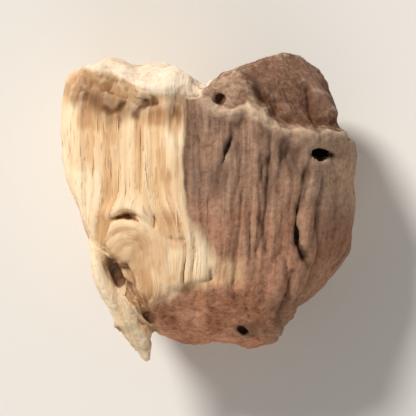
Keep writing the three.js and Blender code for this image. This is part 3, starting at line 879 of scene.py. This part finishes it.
# Noise of the material: the waves to a millimetre along each axis, its detail and its roughness
SPECKS = ((3.0, 3.0, 3.0), 4.0, 0.7)
BLOTCHES = ((0.4, 0.4, 0.4), 3.0, 0.6)
FINE_GRAIN = ((4.0, 0.35, 4.0), 4.0, 0.6)
BROAD_GRAIN = ((0.9, 0.12, 0.9), 2.0, 0.6)
PORES = ((8.0, 0.9, 8.0), 2.0, 0.6)
TINT_RANGE = (-1.2, 1.2)
PORE_RANGE, PORE_STRENGTHS = (0.6, 0.72), (0.0, 0.6)
RUDDY_RANGE = (0.4, 0.64)  # of the blotches where the bark is ruddy
HOLLOW_RANGE, HOLLOW_SHADE = (0.06, 0.8), (0.0, 0.85)  # how hollow a place is, and how much painted shade it gets there
RIDGE_RANGE = (-0.08, -0.6)  # how far a place stands out, from just worn to fully; its paleness is partly a painted highlight
WOOD_WEAR_AND_HIGHLIGHT, BARK_WEAR_AND_HIGHLIGHT = 0.3, 0.1  # how much of the worn tone, partly a painted highlight, shows there
# How strongly the painted shade darkens the creases
CREASE_SHADE = 0.8
BUMP_HEIGHT = 0.1
SPECK_RANGE, ROUGHNESS_RANGE = (0.3, 0.7), (0.75, 0.95)
SPECULAR_LEVEL = 0.25
# The finishes that lie over the bare wood, and those over the bark, in order, with their strengths
OVER_WOOD = {
    "bark": 1.0, "broken": 1.0, "strip": 0.7, "edge": 0.85, "lip": 1.0, "white": 1.0,
    "scar": 1.0,
}
OVER_BARK = {"near": 0.85, "fringe": 0.85, "shade": 0.6}

# The tones of each finish, from dark to pale: a place on its ramp, and red, green and blue to 255
TONES = {
    "pale": [(0.3, 205, 160, 112), (0.42, 231, 191, 145), (0.54, 243, 210, 168), (0.7, 252, 228, 192)],
    "tan": [(0.3, 150, 102, 68), (0.5, 200, 152, 108), (0.7, 234, 194, 150)],
    "grey": [(0.3, 112, 84, 68), (0.45, 153, 120, 99), (0.57, 176, 141, 117), (0.72, 198, 165, 139)],
    "ruddy": [(0.3, 122, 78, 59), (0.46, 166, 118, 92), (0.6, 187, 140, 111), (0.74, 206, 162, 133)],
    "near": [(0.36, 118, 70, 49), (0.45, 176, 115, 82), (0.56, 210, 150, 113), (0.66, 232, 182, 148)],
    # The scar's brown, partly painted shade under the lip
    "scar": [(0.34, 84, 52, 31), (0.5, 130, 88, 57), (0.66, 176, 130, 90)],
    "lip": [(0.26, 190, 150, 108), (0.46, 226, 192, 150), (0.7, 244, 220, 184)],
    "white": [(0.3, 222, 194, 160), (0.44, 242, 219, 193), (0.66, 251, 234, 214)],
    "broken": [(0.3, 78, 50, 38), (0.48, 120, 85, 66), (0.7, 162, 125, 101)],
    "strip": [(0.3, 122, 91, 74), (0.7, 180, 141, 118)],
    "edge": [(0.3, 168, 134, 110), (0.6, 230, 197, 166)],
}
PORE_TONE = (176, 128, 84)
BARK_SHADE_TONE = (90, 65, 51)
# The tones of the painted shade in creases and hollows, on the wood and on the bark
WOOD_SHADE_TONE = (98, 61, 35)
BARK_DEEP_SHADE_TONE = (56, 34, 23)
# The pale tone of worn ridges, partly a painted highlight
WORN_HIGHLIGHT_TONE = (255, 236, 208)
FLOOR_TONE = (236, 233, 228)
FLOOR_ROUGHNESS = 0.8

# The sockets of Blender's Mix node, by number
MIX_SHARE = 0
MIX_NUMBERS, NUMBER_OUT = (2, 3), 0
MIX_COLOURS, COLOUR_OUT = (6, 7), 2


def colour(red, green, blue):
    """A colour given as 0 to 255 on a screen, as the linear values that nodes take."""
    linear = [((c / 255 + 0.055) / 1.055) ** 2.4 for c in (red, green, blue)]
    return (*linear, 1.0)


class Nodes:
    """Adds nodes to a material, each with its inputs linked or set."""

    def __init__(self, name):
        self.material = bpy.data.materials.new(name)
        self.material.use_nodes = True
        self.tree = self.material.node_tree
        self.tree.nodes.clear()

    def add(self, kind, inputs, **settings):
        """A node of a kind, with its settings and inputs."""
        node = self.tree.nodes.new(kind)
        for key, value in settings.items():
            setattr(node, key, value)
        for key, value in inputs.items():
            if isinstance(value, bpy.types.NodeSocket):
                self.tree.links.new(value, node.inputs[key])
            else:
                node.inputs[key].default_value = value
        return node

    def amount(self, name, output="Fac"):
        """What the surface's points carry under a name: a number, or from output Vector a vector."""
        return self.add("ShaderNodeAttribute", {}, attribute_name=name).outputs[output]

    def times(self, a, b):
        """The product of two numbers."""
        return self.add("ShaderNodeMath", {0: a, 1: b}, operation="MULTIPLY").outputs[0]

    def scaled(self, vector, factors):
        """A vector scaled along each axis."""
        inputs = {0: vector, 1: factors}
        return self.add("ShaderNodeVectorMath", inputs, operation="MULTIPLY").outputs[0]

    def noise(self, vector, waves, detail, roughness):
        """Noise from 0 to 1, with so many waves to a unit along each axis."""
        place = self.scaled(vector, waves)
        inputs = {"Vector": place, "Scale": 1.0, "Detail": detail, "Roughness": roughness}
        return self.add("ShaderNodeTexNoise", inputs).outputs["Fac"]

    def blend(self, share, a, b):
        """A number between a and b."""
        inputs = {MIX_SHARE: share, MIX_NUMBERS[0]: a, MIX_NUMBERS[1]: b}
        return self.add("ShaderNodeMix", inputs, data_type="FLOAT").outputs[NUMBER_OUT]

    def mix(self, share, a, b):
        """A colour between a and b."""
        inputs = {MIX_SHARE: share, MIX_COLOURS[0]: a, MIX_COLOURS[1]: b}
        return self.add("ShaderNodeMix", inputs, data_type="RGBA").outputs[COLOUR_OUT]

    def span(self, value, low, high, to_low=0.0, to_high=1.0):
        """A value carried smoothly from one range to another."""
        inputs = {0: value, 1: low, 2: high, 3: to_low, 4: to_high}
        return self.add("ShaderNodeMapRange", inputs, interpolation_type="SMOOTHSTEP").outputs[0]

    def ramp(self, value, tones):
        """The colour at a value, between tones given as (position, red, green, blue)."""
        node = self.add("ShaderNodeValToRGB", {0: value})
        elements = node.color_ramp.elements
        while len(elements) < len(tones):
            elements.new(1.0)
        for element, (position, *tone) in zip(elements, tones):
            element.position = position
            element.color = colour(*tone)
        return node.outputs["Color"]


def noise_patterns(n):
    """The noise and the tint that the tones follow."""
    grain = n.amount("grain", "Vector")
    metres = n.add("ShaderNodeTexCoord", {}).outputs["Object"]
    place = n.scaled(metres, (1 / MILLIMETRE,) * 3)
    end = n.amount("end")
    specks = n.noise(place, *SPECKS)
    blotches = n.noise(place, *BLOTCHES)
    return SimpleNamespace(
        specks=specks,
        blotches=blotches,
        fibres=n.blend(end, n.noise(grain, *FINE_GRAIN), specks),
        broad=n.blend(end, n.noise(grain, *BROAD_GRAIN), blotches),
        pores=n.noise(grain, *PORES),
        tint=n.span(n.amount("tint"), *TINT_RANGE),
    )


def pale_colour(n, pattern):
    """The bare wood's own colour, with darker pores."""
    along_grain = n.blend(0.5, pattern.fibres, pattern.broad)
    pale = n.ramp(n.blend(0.4, along_grain, pattern.tint), TONES["pale"])
    in_pores = n.span(pattern.pores, *PORE_RANGE, *PORE_STRENGTHS)
    return n.mix(in_pores, pale, colour(*PORE_TONE))


def tan_colour(n, pattern):
    """The colour of stained wood, and of painted shade by the groove and under the lip."""
    patchy_grain = n.blend(0.5, pattern.fibres, pattern.blotches)
    return n.ramp(n.blend(0.35, patchy_grain, pattern.tint), TONES["tan"])


def laid_over(n, base, colours, strengths):
    """A colour with others over it, each where the surface's attribute of its name is."""
    for name, strength in strengths.items():
        base = n.mix(n.times(n.amount(name), strength), base, colours[name])
    return base


def bark_colour(n, pattern, tan):
    """The bark, which is grey at its far end, ruddy at its near one and tan against the wood."""
    grey = n.ramp(n.blend(0.5, pattern.fibres, pattern.specks), TONES["grey"])
    ruddy = n.ramp(n.blend(0.6, pattern.fibres, pattern.specks), TONES["ruddy"])
    ruddy_share = n.blend(0.3, n.amount("ruddy"), n.span(pattern.blotches, *RUDDY_RANGE))
    colours = {
        "near": n.ramp(n.blend(0.5, pattern.specks, pattern.blotches), TONES["near"]),
        "fringe": tan,
        "shade": colour(*BARK_SHADE_TONE),
    }
    return laid_over(n, n.mix(ruddy_share, grey, ruddy), colours, OVER_BARK)


def surface_colour(n, pattern):
    """Every finish over the bare wood, in order."""
    tan = tan_colour(n, pattern)
    lip = n.ramp(n.blend(0.35, pattern.specks, pattern.tint), TONES["lip"])
    even = n.blend(0.15, pattern.specks, pattern.tint)
    colours = {
        "bark": bark_colour(n, pattern, tan),
        "broken": n.ramp(even, TONES["broken"]),
        "strip": n.ramp(pattern.fibres, TONES["strip"]),
        "edge": n.ramp(pattern.specks, TONES["edge"]),
        "lip": n.mix(n.amount("stain_and_shade"), lip, tan),
        "white": n.ramp(even, TONES["white"]),
        "scar": n.ramp(n.blend(0.5, pattern.fibres, pattern.blotches), TONES["scar"]),
    }
    wood = n.mix(n.amount("stain_and_shade"), pale_colour(n, pattern), tan)
    return laid_over(n, wood, colours, OVER_WOOD)


def shaded_and_worn(n, base):
    """The colour with painted shade in creases and hollows, and paler ridges: wear and painted
    highlight.
    """
    dark = n.mix(n.amount("bark"), colour(*WOOD_SHADE_TONE), colour(*BARK_DEEP_SHADE_TONE))
    # Painted shade in the creases
    base = n.mix(n.times(n.amount("crease_shade"), CREASE_SHADE), base, dark)
    hollow = n.amount("hollow")
    # Painted shade in the hollows
    base = n.mix(n.span(hollow, *HOLLOW_RANGE, *HOLLOW_SHADE), base, dark)
    # Paler ridges: partly wear, partly a painted highlight
    wear_and_highlight = n.blend(n.amount("bark"), WOOD_WEAR_AND_HIGHLIGHT, BARK_WEAR_AND_HIGHLIGHT)
    return n.mix(n.times(n.span(hollow, *RIDGE_RANGE), wear_and_highlight), base, colour(*WORN_HIGHLIGHT_TONE))


def wood_material():
    """The wood and bark, whose finishes follow the surface's attributes."""
    n = Nodes("root_wood")
    pattern = noise_patterns(n)
    height = n.blend(n.amount("bark"), pattern.fibres, pattern.specks)
    bump_inputs = {"Strength": 1.0, "Distance": BUMP_HEIGHT * MILLIMETRE, "Height": height}
    shader_inputs = {
        "Base Color": shaded_and_worn(n, surface_colour(n, pattern)),
        "Roughness": n.span(pattern.specks, *SPECK_RANGE, *ROUGHNESS_RANGE),
        "Normal": n.add("ShaderNodeBump", bump_inputs).outputs[0],
    }
    shader = n.add("ShaderNodeBsdfPrincipled", shader_inputs)
    shader.inputs["Specular IOR Level"].default_value = SPECULAR_LEVEL
    n.add("ShaderNodeOutputMaterial", {"Surface": shader.outputs[0]})
    return n.material


def floor_material():
    """A plain, pale, matt floor."""
    n = Nodes("floor")
    shader_inputs = {"Base Color": colour(*FLOOR_TONE), "Roughness": FLOOR_ROUGHNESS}
    shader = n.add("ShaderNodeBsdfPrincipled", shader_inputs)
    n.add("ShaderNodeOutputMaterial", {"Surface": shader.outputs[0]})
    return n.material


# The scene around it

FLOOR_SIZE = 2.0  # metres
CAMERA_LENS = 500.0  # long, so that the view from above is almost parallel
CAMERA_SENSOR = 36.0
CAMERA_RANGE = 20  # how many times nearer or farther than the chunk the camera still sees
FRAME_FILL = 0.74  # the chunk's length as a share of the picture's height
# Each light's azimuth and elevation, its softness in degrees, its strength and its tint
LIGHTS = {
    "key": (130, 42, 14, 3.0, (1.0, 0.97, 0.92)),
    "fill": (-90, 35, 60, 0.55, (1.0, 0.97, 0.95)),
}
WORLD_TINT = (1.0, 0.98, 0.95, 1.0)
WORLD_STRENGTH = 0.26


def add_floor():
    """A square floor in the plane that the chunk rests on."""
    mesh = bpy.data.meshes.new("floor")
    half = FLOOR_SIZE / 2
    corners = [(-half, -half, 0), (half, -half, 0), (half, half, 0), (-half, half, 0)]
    mesh.from_pydata(corners, [], [(0, 1, 2, 3)])
    mesh.materials.append(floor_material())
    floor = add_to_scene("floor", mesh)


def add_sun(name, azimuth, elevation, softness, strength, tint):
    """A soft light from a direction. Azimuth 0 comes from +X and 90 from +Y."""
    light = bpy.data.lights.new(name, "SUN")
    light.energy = strength
    light.angle = math.radians(softness)
    light.color = tint
    sun = add_to_scene(name, light)
    sun.rotation_euler = (0, math.radians(90 - elevation), math.radians(azimuth))


def add_world():
    """An even, faint light from all round."""
    world = bpy.data.worlds.new("studio")
    world.use_nodes = True
    background = world.node_tree.nodes["Background"]
    background.inputs["Color"].default_value = WORLD_TINT
    background.inputs["Strength"].default_value = WORLD_STRENGTH
    bpy.context.scene.world = world


def add_camera():
    """A camera straight above the chunk, which looks down on it."""
    middle = (cad_low + cad_high) / 2
    length = cad_high.y - cad_low.y
    data = bpy.data.cameras.new("camera")
    data.lens = CAMERA_LENS
    data.sensor_width = CAMERA_SENSOR
    height = length / FRAME_FILL * CAMERA_LENS / CAMERA_SENSOR
    data.clip_start = height / CAMERA_RANGE
    data.clip_end = height * CAMERA_RANGE
    camera = add_to_scene("camera", data)
    camera.location = (middle.x, middle.y, middle.z + height)
    bpy.context.scene.camera = camera


wood = wood_material()
chunk = make_chunk()
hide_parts("root_chunk")
slivers = torn_slivers(chunk.data)
for piece in (chunk, slivers):
    piece.data.materials.clear()
    piece.data.materials.append(wood)
    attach(piece, "root")

add_floor()
for light_name, light_values in LIGHTS.items():
    add_sun(light_name, *light_values)
add_world()
add_camera()
bpy.context.scene.view_settings.view_transform = "Standard"
